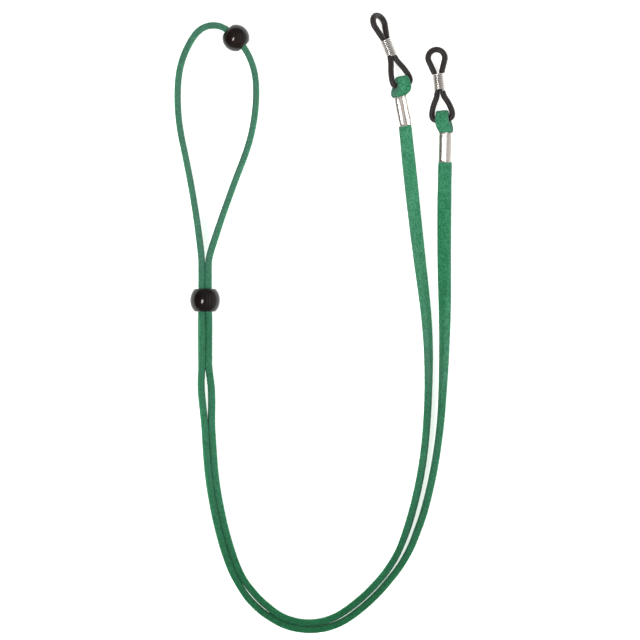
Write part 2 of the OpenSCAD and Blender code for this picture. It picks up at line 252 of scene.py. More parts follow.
def eye_frame(fit):
    away = math.hypot(fit.eye[0] - fit.foot[0], fit.eye[1] - fit.foot[1])
    axes = turn_z(fit.eye_head) @ turn_y(-fit.pitch) @ turn_x(fit.roll)
    return np.array([*fit.eye, fit.z + sind(fit.pitch) * away]), axes


def loop_frame(fit):
    origin, axes = eye_frame(fit)
    return origin, axes @ turn_y(-fit.loop_pitch)


def world_point(frame, x, y, z):
    origin, axes = frame
    return origin + axes @ np.array([x, y, z])


# ------------------------------------------------------------------ curves
def smooth01(x):
    x = np.clip(x, 0, 1)
    return x * x * (3 - 2 * x)


def ease(value, start, end):
    """Rises smoothly from 0 to 1 as value goes from start to end, which may be the lower."""
    return smooth01((value - start) / (end - start))


def unit(vectors):
    return vectors / np.maximum(np.linalg.norm(vectors, axis=-1, keepdims=True), 1e-12)


def square_to(vectors, tangent):
    """Unit vectors with their part along the tangent taken out."""
    return unit(vectors - (vectors * tangent).sum(1)[:, None] * tangent)


def tangents(points):
    result = np.empty_like(points)
    result[1:-1] = points[2:] - points[:-2]
    result[0] = points[1] - points[0]
    result[-1] = points[-1] - points[-2]
    return unit(result)


def gauss_smooth(rows, sigma):
    """Smooths the rows along the path, leaving the ends in place. Sigma is in rows."""
    reach_rows = int(math.ceil(3 * sigma))
    kernel = np.exp(-0.5 * (np.arange(-reach_rows, reach_rows + 1) / sigma) ** 2)
    kernel /= kernel.sum()
    before = 2 * rows[:1] - rows[reach_rows:0:-1]
    after = 2 * rows[-1:] - rows[-2:-reach_rows - 2:-1]
    padded = np.vstack([before, rows, after])
    return np.stack([np.convolve(column, kernel, "valid") for column in padded.T], 1)


def resample(rows, spacing):
    """Evenly spaced rows; the first three columns, or fewer, are the position."""
    gaps = np.linalg.norm(np.diff(rows[:, :3], axis=0), axis=1)
    along = np.r_[0, np.cumsum(gaps)]
    keep = np.r_[True, np.diff(along) > 1e-6]
    along, rows = along[keep], rows[keep]
    even = np.linspace(0, along[-1], int(round(along[-1] / spacing)) + 1)
    return even, np.stack([np.interp(even, along, column) for column in rows.T], 1)


def hermite(start, start_tangent, end, end_tangent, count):
    s = np.linspace(0, 1, count)[:, None]
    return ((2 * s ** 3 - 3 * s ** 2 + 1) * start + (s ** 3 - 2 * s ** 2 + s) * start_tangent
            + (-2 * s ** 3 + 3 * s ** 2) * end + (s ** 3 - s ** 2) * end_tangent)


def bezier(corners, count):
    start, pull_start, pull_end, end = (np.array(corner) for corner in corners)
    s = np.linspace(0, 1, count)[:, None]
    return ((1 - s) ** 3 * start + 3 * (1 - s) ** 2 * s * pull_start
            + 3 * (1 - s) * s ** 2 * pull_end + s ** 3 * end)


# ------------------------------------------------------------------ meshes
def new_object(name, points, faces, slot, attributes=None, recalc=False):
    """A smooth mesh object from points in millimetres, in the material of its slot."""
    mesh = bpy.data.meshes.new(name)
    mesh.from_pydata((np.asarray(points) * MM).tolist(), [], faces)
    mesh.validate()
    mesh.update()
    mesh.polygons.foreach_set("use_smooth", [True] * len(mesh.polygons))
    for key, values in (attributes or {}).items():
        attribute = mesh.attributes.new(key, "FLOAT", "POINT")
        attribute.data.foreach_set("value", np.asarray(values, np.float32))
    obj = bpy.data.objects.new(name, mesh)
    bpy.context.scene.collection.objects.link(obj)
    if recalc:
        edit = bmesh.new()
        edit.from_mesh(mesh)
        bmesh.ops.recalc_face_normals(edit, faces=edit.faces)
        edit.to_mesh(mesh)
        edit.free()
    mesh.materials.append(MATERIALS[slot])
    return obj


def tube_faces(rings, sides):
    faces = []
    for ring in range(rings - 1):
        low, high = ring * sides, (ring + 1) * sides
        for i in range(sides):
            j = (i + 1) % sides
            faces.append((low + i, low + j, high + j, high + i))
    return faces


def capped_faces(rings, sides):
    start_cap = tuple(range(sides - 1, -1, -1))
    end_cap = tuple((rings - 1) * sides + i for i in range(sides))
    return tube_faces(rings, sides) + [start_cap, end_cap]


def sweep(path, first, second, section):
    """Section points (rings, sides, 2) laid out along the path on two unit vectors."""
    return (path[:, None, :] + section[:, :, 0:1] * first[:, None, :]
            + section[:, :, 1:2] * second[:, None, :]).reshape(-1, 3)


def lace_outline(radius):
    """The lace's rounded rectangle, evenly spaced, counter-clockwise."""
    half_w, half_t = LACE_W / 2 - radius, LACE_T / 2 - radius
    corners = ((half_w, half_t, 0), (-half_w, half_t, 90),
               (-half_w, -half_t, 180), (half_w, -half_t, 270))
    points = [(x + radius * cosd(angle), y + radius * sind(angle))
              for x, y, start in corners for angle in np.linspace(start, start + 90, 25)]
    points = np.array(points + [points[0]])
    along = np.r_[0, np.cumsum(np.hypot(*np.diff(points, axis=0).T))]
    even = np.arange(LACE_SIDES) * along[-1] / LACE_SIDES
    return np.stack([np.interp(even, along, column) for column in points.T], 1)


def scaled_outline(outline, width, thickness):
    """One outline per ring, stretched to each ring's width and thickness."""
    return outline * np.stack([width / LACE_W, thickness / LACE_T], 1)[:, None, :]


def outward(outline, first, second):
    """Outward directions of a swept lace outline, one per vertex."""
    normal = unit(outline / np.array([(LACE_W / 2) ** 2, (LACE_T / 2) ** 2]))
    return unit(sweep(np.zeros_like(first), first, second, normal[None]))


def cut_edge(outline, start):
    """1 on the lace's cut edges and 0 on its faces; start is the fade's distance from the side."""
    return ease(np.abs(outline[:, 0]), LACE_W / 2 - start, LACE_W / 2 - 0.05)


def fractal(point, octaves):
    return noise.fractal(point, 1.0, 2.1, octaves, noise_basis="PERLIN_ORIGINAL")


def drift(values, rate, y, z):
    """Slow noise along a row of values; y and z pick the noise."""
    return np.array([fractal(Vector((value * rate, y, z)), 2) for value in values])


def add_nap(points, out, height, scale, seed=0.0):
    """Moves points outward by fine fibrous noise; also returns the noise."""
    shift = Vector((seed, 1.7 * seed, -seed))
    rough = np.empty(len(points))
    for i, point in enumerate(points):
        point = Vector(point)
        coarse = fractal(point * scale + shift, 3)
        fine = fractal(point * scale * 2.7 + shift * 2, 2)
        rough[i] = 0.6 * coarse + 0.4 * fine
    return points + out * (height * rough)[:, None], rough


# ------------------------------------------------------------------ shader graphs
class Graph:
    """A node tree with an output and a shader, and short ways to add nodes."""

    def __init__(self, owner, output_kind, shader_kind):
        owner.use_nodes = True
        self.owner = owner
        self.tree = owner.node_tree
        self.tree.nodes.clear()
        output = self.node(output_kind)
        self.shader = self.node(shader_kind)
        self.feed(output.inputs[0], self.shader.outputs[0])

    def feed(self, socket, value):
        """Links an output to a socket, or sets the socket's number or colour."""
        if isinstance(value, bpy.types.NodeSocket):
            self.tree.links.new(value, socket)
        else:
            socket.default_value = (*value, 1) if isinstance(value, tuple) else value

    def feed_all(self, node, inputs):
        for key, value in inputs.items():
            self.feed(node.inputs[key], value)

    def node(self, kind, inputs=None, **settings):
        node = self.tree.nodes.new("ShaderNode" + kind)
        for key, value in settings.items():
            setattr(node, key, value)
        self.feed_all(node, inputs or {})
        return node

    def finish(self, inputs):
        """Sets the shader's inputs and returns the material or world."""
        self.feed_all(self.shader, inputs)
        return self.owner

    def coordinates(self, kind="Object"):
        return self.node("TexCoord").outputs[kind]

    def attribute(self, name):
        return self.node("Attribute", attribute_name=name).outputs["Fac"]

    def noise(self, vector, scale, detail=4.0, rough=0.6, distort=0.0):
        inputs = {"Scale": scale, "Detail": detail, "Roughness": rough, "Distortion": distort,
                  "Vector": vector}
        return self.node("TexNoise", inputs).outputs["Fac"]

    def ramp(self, value, stops):
        """A colour ramp; stops are (position, colour or grey level)."""
        node = self.node("ValToRGB", {0: value})
        elements = node.color_ramp.elements
        while len(elements) < len(stops):
            elements.new(0.5)
        for element, (position, colour) in zip(elements, stops):
            if not isinstance(colour, tuple):
                colour = (colour,) * 3
            element.position = position
            element.color = (*colour, 1)
        return node.outputs[0]

    def mix(self, factor, first, second, blend="MIX"):
        # sockets 6 and 7 are the mix node's two colours
        inputs = {0: factor, 6: first, 7: second}
        return self.node("Mix", inputs, data_type="RGBA", blend_type=blend).outputs[2]

    def math(self, operation, first, second=0.0, clamp=False):
        inputs = {0: first, 1: second}
        return self.node("Math", inputs, operation=operation, use_clamp=clamp).outputs[0]

    def times(self, first, second, clamp=False):
        return self.math("MULTIPLY", first, second, clamp)

    def plus(self, first, second):
        return self.math("ADD", first, second)

    def weighted(self, *terms):
        """The sum of (value, weight) terms."""
        total = self.times(*terms[0])
        for value, weight in terms[1:]:
            total = self.plus(total, self.times(value, weight))
        return total

    def bump(self, height, strength, distance):
        inputs = {"Strength": strength, "Distance": distance, "Height": height}
        return self.node("Bump", inputs).outputs[0]


def material_graph(name):
    return Graph(bpy.data.materials.new(name), "OutputMaterial", "BsdfPrincipled")


# ------------------------------------------------------------------ materials
SUEDE_DARK = (0.016, 0.135, 0.058)
SUEDE_MID = (0.046, 0.262, 0.130)
SUEDE_LIGHT = (0.115, 0.420, 0.245)
SUEDE_EDGE = (0.083, 0.182, 0.141)
SUEDE_FIBRE = (0.22, 0.50, 0.34)
SUEDE_PAINTED_SHADE = (0.60, 0.89, 0.74)       # painted shade, multiplies the colour, first step
SUEDE_PAINTED_SHADE_DARKER = (0.32, 0.62, 0.45)     # painted shade, second step
SUEDE_SHEEN = (0.60, 0.88, 0.74)
RUBBER_DARK = (0.009, 0.006, 0.0055)
RUBBER_LIGHT = (0.026, 0.018, 0.017)


def scaled(colour, factor):
    return tuple(factor * channel for channel in colour)


def suede_material():
    graph = material_graph("suede_green")
    place = graph.coordinates()
    edge, nap_and_painted_light, painted_shade = (graph.attribute(name) for name in ("edge", "nap_and_painted_light", "painted_shade"))

    # broad patches where the nap lies one way or the other, then the grain of the skin
    patch = graph.noise(place, scale=300, detail=3, rough=0.55, distort=0.2)
    grain = graph.noise(place, scale=3300, detail=6, rough=0.82, distort=0.1)
    fine = graph.noise(place, scale=7000, detail=3, rough=0.7)
    tuft = graph.noise(place, scale=1700, detail=3, rough=0.6, distort=0.3)
    # the nap attribute also carries painted light near the left ferrule
    pile = graph.weighted((patch, 0.14), (grain, 0.50), (tuft, 0.36), (nap_and_painted_light, 0.10))
    colour = graph.ramp(pile, [(0.38, SUEDE_DARK), (0.50, SUEDE_MID), (0.63, SUEDE_LIGHT)])

    # cut edges are greyer and a little uneven
    edge_share = graph.times(edge, graph.plus(graph.times(fine, 0.6), 0.35), clamp=True)
    edge_colour = graph.ramp(pile, [(0.32, scaled(SUEDE_EDGE, 0.62)),
                                    (0.66, scaled(SUEDE_EDGE, 1.25))])
    colour = graph.mix(edge_share, colour, edge_colour)

    # dark pits between the fibres
    cells = graph.node("TexVoronoi", {"Scale": 2600, "Vector": place}, feature="F1")
    pit = graph.ramp(cells.outputs["Distance"], [(0.0, 1), (0.22, 0.35), (0.4, 0)])
    colour = graph.mix(graph.times(pit, 0.5), colour, scaled(SUEDE_DARK, 0.45))

    # stray pale fibres
    strands = graph.noise(place, scale=3600, detail=2, rough=0.5, distort=1.6)
    stray = graph.ramp(strands, [(0.62, 0), (0.72, 1)])
    colour = graph.mix(graph.times(stray, 0.30), colour, SUEDE_FIBRE)

    # painted shade: the attribute from 0 to 1 darkens the green by the first step, from 1 to 2 by
    # the second
    first = graph.math("MINIMUM", painted_shade, 1.0)
    second = graph.math("SUBTRACT", painted_shade, 1.0, clamp=True)
    colour = graph.mix(first, colour, graph.mix(1.0, colour, SUEDE_PAINTED_SHADE, "MULTIPLY"))
    colour = graph.mix(second, colour, graph.mix(1.0, colour, SUEDE_PAINTED_SHADE_DARKER, "MULTIPLY"))

    relief = graph.weighted((grain, 0.8), (fine, 0.45))
    return graph.finish({
        "Base Color": colour, "Roughness": 0.95, "Specular IOR Level": 0.10,
        "Sheen Weight": 0.22, "Sheen Roughness": 0.40, "Sheen Tint": SUEDE_SHEEN,
        "Normal": graph.bump(relief, strength=0.7, distance=0.00010)})


def bead_material(name, tone, hint):
    """Glossy, nearly black, with clouds of a second tone."""
    graph = material_graph(name)
    place = graph.coordinates()
    cloud = graph.noise(place, scale=260, detail=3, rough=0.5)
    smudge = graph.noise(place, scale=700, detail=4, rough=0.65, distort=0.5)
    colour = graph.ramp(cloud, [(0.35, tone), (0.7, hint)])
    roughness = graph.ramp(smudge, [(0.35, 0.10), (0.75, 0.19)])

    # faint moulding ripple and hairline scratches
    ripple = graph.noise(place, scale=380, detail=2, rough=0.4)
    scratches = graph.node("TexWave", {"Scale": 900, "Distortion": 14, "Vector": place},
                           wave_type="BANDS", bands_direction="DIAGONAL").outputs["Fac"]
    relief = graph.weighted((ripple, 1.0), (scratches, 0.03))
    return graph.finish({
        "Base Color": colour, "Roughness": roughness, "IOR": 1.38,
        "Normal": graph.bump(relief, strength=0.10, distance=0.00012)})


def rubber_material():
    graph = material_graph("elastic_rubber")
    place = graph.coordinates()
    cloud = graph.noise(place, scale=900, detail=4, rough=0.6)
    fine = graph.noise(place, scale=4200, detail=4, rough=0.7)
    colour = graph.ramp(cloud, [(0.3, RUBBER_DARK), (0.72, RUBBER_LIGHT)])
    roughness = graph.ramp(cloud, [(0.3, 0.42), (0.8, 0.62)])
    relief = graph.weighted((fine, 0.6), (cloud, 0.6))
    return graph.finish({
        "Base Color": colour, "Roughness": roughness, "Specular IOR Level": 0.42,
        "Sheen Weight": 0.12, "Sheen Roughness": 0.5,
        "Normal": graph.bump(relief, strength=0.4, distance=0.00004)})


def metal_material(name, tone, dark, roughness, line_strength):
    """Bright plated metal with fine lines that run along the piece."""
    graph = material_graph(name)
    place = graph.coordinates()
    across = graph.times(graph.attribute("across"), 40.0)
    line_place = graph.node("CombineXYZ", {0: across}).outputs[0]
    lines = graph.noise(line_place, scale=1.0, detail=5, rough=0.75)
    tarnish = graph.noise(place, scale=520, detail=4, rough=0.6, distort=0.3)
    colour = graph.mix(graph.times(tarnish, 0.45), tone, dark)
    wear = graph.weighted((lines, 0.5), (tarnish, 0.5))
    relief = graph.plus(lines, graph.times(tarnish, 0.15))
    return graph.finish({
        "Base Color": colour, "Metallic": 1.0,
        "Roughness": graph.ramp(wear, [(0.3, roughness[0]), (0.75, roughness[1])]),
        "Normal": graph.bump(relief, strength=line_strength, distance=0.00003)})


# keyed by slot name
MATERIALS = {
    "suede": suede_material(),
    "bead_slider": bead_material("slider_gloss", tone=(0.006, 0.0045, 0.004),
                                 hint=(0.014, 0.008, 0.007)),
    "bead_round": bead_material("round_gloss", tone=(0.007, 0.004, 0.004),
                                hint=(0.018, 0.009, 0.008)),
    "elastic_cord": rubber_material(),
    "ferrule_metal": metal_material("ferrule_nickel", tone=(0.90, 0.845, 0.80),
                                    dark=(0.66, 0.59, 0.54), roughness=(0.24, 0.38),
                                    line_strength=0.45),
    "coil_wire": metal_material("coil_wire", tone=(0.84, 0.80, 0.77),
                                dark=(0.54, 0.50, 0.475), roughness=(0.24, 0.40),
                                line_strength=0.35),
}


# ------------------------------------------------------------------ lace centre line
def box_centre(node):
    low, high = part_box(node)
    return np.array((low + high) / 2) / MM


SLIDER_CENTRE = box_centre("slider_bead")
ROUND_CENTRE = box_centre("round_bead")
BEAD_ARC_R = abs(LOOP[BEAD_SEGMENT][0] / math.radians(LOOP[BEAD_SEGMENT][1]))
# stretch of lace that the round bead can reach: 30 degrees back along its arc, and a little on
BEAD_BACK = BEAD_ARC_R * math.radians(30.0) + 4.2
BEAD_ON = 4.6


def knee_points(offset):
    """Points round the knee where the flat run tips on to the slope."""
    points = []
    for k in range(1, 6):
        angle = SLOPE * k / 6
        ahead = KNEE_R * sind(angle)
        pose = (KNEE[0] + ahead * cosd(KNEE[2]), KNEE[1] + ahead * sind(KNEE[2]), KNEE[2])
        x, y, _ = beside(pose, offset)
        points.append([x, y, LIFT - KNEE_R * (1 - cosd(angle))])
    return points


def flat_points(poses):
    return [[x, y, LIFT] for x, y, _ in poses]


def sloped_points(poses):
    return [[x, y, z] for x, y, _, z in map(sloped, poses)]


def run_points(offset, lead):
    """One length of the doubled run, from the loop to where its arm begins."""
    return (flat_points(trace(RUN_START, RUN_STRAIGHT, offset)) + knee_points(offset)
            + sloped_points(trace(KNEE, RUN_BEND, offset))
            + sloped_points(trace(beside(RUN_END, offset), lead)))


def arm_rows(fit):
    """Centre and width direction of one arm, rolling from on edge to the ferrule's roll."""
    length = sum(segment[0] for segment in fit.bends)
    poses = trace(fit.flex[:3], fit.bends)
    roll_start = 90 * fit.sign
    rows = []
    along = 0.0
    previous = poses[0]
    for x, y, heading in poses:
        along += math.hypot(x - previous[0], y - previous[1])
        previous = (x, y)
        share = float(ease(along, fit.roll_span[0] * length, fit.roll_span[1] * length))
        share += fit.early_roll * float(ease(along, 0, 12.0) * (1 - ease(along, 25.0, 55.0)))
        roll = roll_start + (fit.roll - roll_start) * share
        height = fit.flex[3] + (fit.z - fit.flex[3]) * min(1, along / length)
        width = np.array([-sind(heading) * cosd(roll), cosd(heading) * cosd(roll), sind(roll)])
        rows.append([x, y, height, *(fit.sign * width)])
    frame = ferrule_frame(fit)
    for x in (0.6, 1.4, 2.2, 3.0):
        rows.append([*world_point(frame, x, 0, 0), *(fit.sign * frame[1][:, 1])])
    return rows


def lace_rows():
    """Centre and width direction of the whole lace, from the left ferrule to the right."""
    middle = (run_points(HALF_PITCH, LEFT_LEAD)[::-1]
              + flat_points(trace(LOOP_START, LOOP))[::-1]
              + run_points(-HALF_PITCH, RIGHT_LEAD))
    middle = [[*point, 0, 0, 1] for point in middle]
    return np.array(arm_rows(LEFT)[::-1] + middle + arm_rows(RIGHT))


def nearest(lace, point):
    return int(np.argmin(np.linalg.norm(lace.centre - np.array(point), axis=1)))


def add_waves(lace):
    """Slow waviness of a hand-laid lace, none near the beads or the ferrules.

    Also sets crisp, which is 0 where the corners are rounder near the slider, the round bead
    and the ferrules, and 1 elsewhere.
    """
    dist = lace.dist
    slider_y = SLIDER_CENTRE[1] - 5

    def clear_of_slider(start, end):
        x, y, _ = lace.centre.T
        return ease(np.abs(y - slider_y), start, end) + (x > -20)

    calm = np.minimum(1, clear_of_slider(16, 24))
    calm = calm * ease(np.linalg.norm(lace.centre - ROUND_CENTRE, axis=1), 14, 22)
    calm *= ease(dist, 6, 14) * ease(lace.total - dist, 6, 14)
    wave = 0.05 * drift(dist, rate=0.045, y=3.1, z=0)
    lace.centre = lace.centre + lace.out * (wave * calm)[:, None]
    lace.crisp = np.minimum(calm, clear_of_slider(14, 19))


# gaps in the bend and where the lengths part: centre x, y, half length, opening
BEND_GAPS = ((-16.8, -82.0, 7.5, 0.15), (26.0, -68.5, 9.0, 0.10))


def open_gaps(lace):
    """The two lengths stand a little open below the slider, in the bend and where they part."""
    x, y, _ = lace.centre.T
    opening = 0.50 * ease(y, -11.2, -19.2) * ease(y, -31.5, -19.5) * ((x < -24) & (y < -5))
    for gap_x, gap_y, half, width in BEND_GAPS:
        away = np.linalg.norm(lace.centre[:, :2] - np.array([gap_x, gap_y]), axis=1)
        opening = opening + width * smooth01(1.6 * (1 - away / half))
    away = np.abs(lace.dist - (lace.dist[lace.flex["right"]] - 12.0))
    opening = opening + 0.34 * smooth01(1.5 * (1 - away / 26.0))
    lace.centre = lace.centre - lace.out * opening[:, None]
    # below the slider the doubled run hangs a little further in, towards the arms
    inward = 0.28 * ease(y, -11.2, -25.2) + 0.14 * ease(y, -38.0, -56.0)
    lace.centre[:, 0] += inward * ease(lace.centre[:, 0], 6.0, -20.0)
    lace.centre[:, 1] += 0.45 * ease(y, -64.0, -78.0)


def in_run(lace, margin, loop_margin):
    """Marks the doubled run: between the arms, and not in the hairpin loop."""
    dist = lace.dist
    between = ((dist > dist[lace.flex["left"]] + margin)
               & (dist < dist[lace.flex["right"]] - margin))
    return between & ((dist < lace.loop[0] + loop_margin) | (dist > lace.loop[1] - loop_margin))


def lean_run(lace):
    """Turns both lengths of the doubled run together, so that its left face shows a little."""
    x, y, _ = lace.centre.T
    by_slider = ease(y, 7.5, 2.5) * ease(y, -16.0, -4.0) * (x < -24)
    rest = ease(y, -2.0, -14.0) * (x < 12) * ease(y, -84.0, -68.0)
    lean = -np.radians(12.0 * by_slider + 6.0 * rest * (1 - by_slider)) * in_run(lace, 2, 1)
    lean = gauss_smooth(lean[:, None], 3.0 / LACE_STEP)
    loop_middle = (lace.loop[0] + lace.loop[1]) / 2
    axis = lace.tangent * np.where(lace.dist > loop_middle, 1.0, -1.0)[:, None]

    def leaned(vectors):
        return vectors * np.cos(lean) + np.cross(axis, vectors) * np.sin(lean)

    middle = lace.centre + lace.out * HALF_PITCH
    lace.out, lace.across = leaned(lace.out), leaned(lace.across)
    lace.centre = middle - lace.out * HALF_PITCH


def build_lace():
    dist, rows = resample(lace_rows(), LACE_STEP)
    centre = gauss_smooth(rows[:, :3], 1.2 / LACE_STEP)
    tangent = tangents(centre)
    across = square_to(gauss_smooth(rows[:, 3:], 2.0 / LACE_STEP), tangent)
    lace = SimpleNamespace(dist=dist, total=dist[-1], centre=centre, tangent=tangent,
                           across=across, out=np.cross(across, tangent))
    lace.flex = {fit.side: nearest(lace, [fit.flex[0], fit.flex[1], fit.flex[3]])
                 for fit in FITS}
    # the line passes the loop backwards, so the bead's way back lies at lower distances
    bead = dist[nearest(lace, ROUND_CENTRE)]
    lace.bead = (bead - BEAD_BACK, bead + BEAD_ON)
    add_waves(lace)
    open_gaps(lace)
    # the loop is counted from 6 mm above the start of the run
    lace.loop = sorted(dist[nearest(lace, [x, RUN_START[1] + 6, LIFT])]
                       for x in (LOOP_START[0] + 2 * HALF_PITCH, LOOP_START[0]))
    lean_run(lace)
    return lace


# ------------------------------------------------------------------ ferrule shape
FERRULE_LEN, FERRULE_W, FERRULE_T, WALL = 8.75, 4.3, 3.9, 0.35
WALL_POINTS = 120
SEAM_DEPTH, SEAM_WIDTH, SEAM_HALF_GAP = 0.62, 0.42, 0.07


def ferrule_wall(grow, sign):
    """One wall of the rolled strip, from hem to hem, as (across, through) points.

    The seam is at the top for sign +1 and at the bottom for -1.
    """
    angle = np.radians(np.linspace(0, 360, 1441)[:-1])
    power = 2 / 2.5                        # superellipse
    curve = np.stack([
        half * np.sign(part) * np.abs(part) ** power
        for half, part in ((FERRULE_W / 2 + grow, np.cos(angle)),
                           (FERRULE_T / 2 + grow, np.sin(angle)))], 1)
    # start at the top centre and go clockwise
    curve = np.vstack([curve[360::-1], curve[:359:-1]])
    along = np.r_[0, np.cumsum(np.hypot(*np.diff(curve, axis=0).T))]
    even = np.linspace(0.0, along[-1], WALL_POINTS)
    wall = np.stack([np.interp(even, along, column) for column in curve.T], 1)

    # both hems dip into the seam's valley and stand a little apart
    x = wall[:, 0].copy()
    top = wall[:, 1] > 0
    wall[:, 1] -= SEAM_DEPTH * np.exp(-(np.abs(x) / SEAM_WIDTH) ** 2.2) * top
    half = WALL_POINTS // 2
    strip_side = np.r_[np.ones(half), -np.ones(WALL_POINTS - half)]
    apart = SEAM_HALF_GAP * np.sign(np.where(np.abs(x) < 1e-9, strip_side, x))
    wall[:, 0] += np.where(top & (np.abs(x) < 1.0), apart, 0)
    return wall * sign


def press_in(points, fit):
    """Presses points in the ferrule within its inner wall, and lets them swell past its lips."""
    slack, lip_swell, lip_length, softness = 0.025, 0.13, 0.26, 0.05
    origin, axes = ferrule_frame(fit)
    inner = ferrule_wall(-WALL, fit.sign)
    angle = np.arctan2(inner[:, 1], inner[:, 0])
    order = np.argsort(angle)
    angle, radius = angle[order], np.hypot(*inner.T)[order]
    # repeat a few points at both ends so that the table wraps round
    angle = np.r_[angle[-8:] - 2 * math.pi, angle, angle[:8] + 2 * math.pi]
    radius = np.r_[radius[-8:], radius, radius[:8]]

    local = (points - origin) @ axes
    inside = np.minimum(local[:, 0], FERRULE_LEN - local[:, 0])
    around = np.arctan2(local[:, 2], local[:, 1])
    old = np.hypot(local[:, 1], local[:, 2])
    limit = np.interp(around, angle, radius) - slack
    limit = limit + lip_swell * np.exp(-(np.clip(inside, 0, None) / lip_length) ** 1.6)
    limit = limit + np.clip(-inside, 0, 9) * 2.0
    # soft minimum of the old radius and the limit
    new = -softness * np.logaddexp(-old / softness, -limit / softness)
    new = np.where(inside > -0.8, new, old)
    local[:, 1:] *= (new / np.maximum(old, 1e-6))[:, None]
    return origin + local @ axes.T


# ------------------------------------------------------------------ lace pieces
def lace_size(lace):
    """Width and thickness all along the lace."""
    dist = lace.dist
    bead_from, bead_to = lace.bead
    loop_from, loop_to = lace.loop
    grip = 1 - ease(np.minimum(dist, lace.total - dist), 1.5, 4.5)
    slow = drift(dist, rate=0.11, y=0.4, z=7.0)
    # the round bead has rolled the lace narrower where it runs
    squeeze = ease(dist, bead_to + 3.5, bead_to) * ease(dist, bead_from - 3.5, bead_from)
    width = LACE_W - 0.03 + 0.035 * slow - 0.30 * grip - 0.80 * squeeze
    in_loop = ease(dist, loop_from, loop_from + 12.0) * ease(dist, loop_to, loop_to - 12.0)
    return width, LACE_T + 0.045 + 0.02 * slow - 0.12 * in_loop


def lace_shade(lace):
    """Painted shade all along the lace: darker down the doubled run and the lower arms, more
    towards the bend, and on part of the right arm.
    """
    y = lace.centre[:, 1]
    shade = np.where(in_run(lace, 0, 0), ease(y, 20, 10), ease(y, -12, -26))
    shade = shade * (0.8 + 0.2 * ease(y, 8, 2)) + 0.8 * ease(y, -32, -90)
    in_right_arm = lace.dist > lace.dist[lace.flex["right"]]
    return shade + 0.6 * ease(y, 45, 30) * ease(y, -4, 8) * in_right_arm


def lace_piece(name, lace, start, end, fit=None):
    """The lace between two rows, pressed into the ferrule of fit if one is given."""
    part = slice(start, end + 1)
    dist, across, out = lace.dist[part], lace.across[part], lace.out[part]
    width, thickness = lace_size(lace)
    soft, crisp = lace_outline(radius=0.85), lace_outline(radius=0.55)
    crispness = lace.crisp[part][:, None, None]
    outline = soft[None] * (1 - crispness) + crisp[None] * crispness
    section = scaled_outline(outline, width[part], thickness[part])
    points = sweep(lace.centre[part], across, out, section)
    points, rough = add_nap(points, outward(soft, across, out), height=0.065, scale=2.0)
    if fit:
        points = press_in(points, fit)

    # near the ferrules the cut edges are nearly as bright as the faces
    from_end = np.minimum(dist, lace.total - dist)
    edge = np.tile(cut_edge(soft, start=0.55), len(dist))
    edge = edge * np.repeat(0.35 + 0.65 * ease(from_end, 50, 80), LACE_SIDES)
    # painted light: the left arm is coloured lighter near its ferrule, added to the nap noise
    rough = rough + np.repeat(0.28 * (1 - ease(dist, 55, 85)), LACE_SIDES)
    # painted shade along the lace, from lace_shade
    painted_shade = np.repeat(lace_shade(lace)[part], LACE_SIDES)
    return new_object(name, points, capped_faces(len(dist), LACE_SIDES), "suede",
                      {"edge": edge, "nap_and_painted_light": rough, "painted_shade": painted_shade})


def metres(point):
    return tuple(float(c) * MM for c in point)


ARM_BLEND = 62.0                # length along an arm from where it begins to a further row; the places of both rows are worked out and not used


def lace_pieces():
    lace = build_lace()
    last = len(lace.dist) - 1
    left, right = lace.flex["left"], lace.flex["right"]
    back = lace_piece("lace_back", lace, left, right)
    arms = (lace_piece("lace_left_arm", lace, 0, left, LEFT),
            lace_piece("lace_right_arm", lace, right, last, RIGHT))
    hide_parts("strap_back")
    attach(back, "strap")
    for arm, fit in zip(arms, FITS):
        start = lace.flex[fit.side]
        end = int(np.clip(start - fit.sign * ARM_BLEND / LACE_STEP, 0, last))
        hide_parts(f"strap_{fit.side}_arm")
        metres(lace.centre[start])
        metres(lace.centre[end])
        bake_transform(arm)


# ------------------------------------------------------------------ folded eyes
CORD_R = 0.86
FOLD_R = 0.88 + 0.99            # band's centre line round the cord
FOLD_ANGLE = 112.0              # the arc over the cord runs this far to either side
LAYER = 0.80                    # height of each layer's centre in the ferrule
# folded-back end, flat under the lace down to the ferrule's foot: along, through
TAIL = ((4.6, -0.98), (3.6, -1.24), (2.6, -1.29), (1.4, -1.29), (0.42, -1.29))


def fold_path(ferrule, eye):
    """Up from the ferrule, over the cord's bar and back down into the ferrule."""
    inside, mouth = FERRULE_LEN - 3.0, FERRULE_LEN + 0.35
    top_in = world_point(ferrule, inside, 0, LAYER)
    top_mouth = world_point(ferrule, mouth, 0, LAYER + 0.05)
    low_in = world_point(ferrule, inside, 0, -LAYER)
    low_mouth = world_point(ferrule, mouth, 0, -LAYER - 0.05)
    arc = [world_point(eye, FOLD_R * cosd(a), 0, FOLD_R * sind(a))
           for a in np.linspace(FOLD_ANGLE, -FOLD_ANGLE, 60)]
    pull = np.linalg.norm(arc[0] - top_mouth)
    up = ferrule[1][:, 0] * pull
    entry = eye[1] @ np.array([sind(FOLD_ANGLE), 0, -cosd(FOLD_ANGLE)]) * pull
    # this tangent points back against the arc's travel
    leaving = eye[1] @ np.array([sind(FOLD_ANGLE), 0, cosd(FOLD_ANGLE)]) * pull
    path = [top_in + (top_mouth - top_in) * k / 6 for k in range(6)]
    path += list(hermite(top_mouth, up, arc[0], entry, 14))[:-1]
    path += arc
    path += list(hermite(arc[-1], leaving, low_mouth, -up, 14))[1:]
    path += [low_mouth + (low_in - low_mouth) * k / 6 for k in range(1, 7)]
    path += [world_point(ferrule, x, 0, z) for x, z in TAIL]
    _, path = resample(np.array(path), FOLD_STEP)
    return gauss_smooth(path, 1.4)


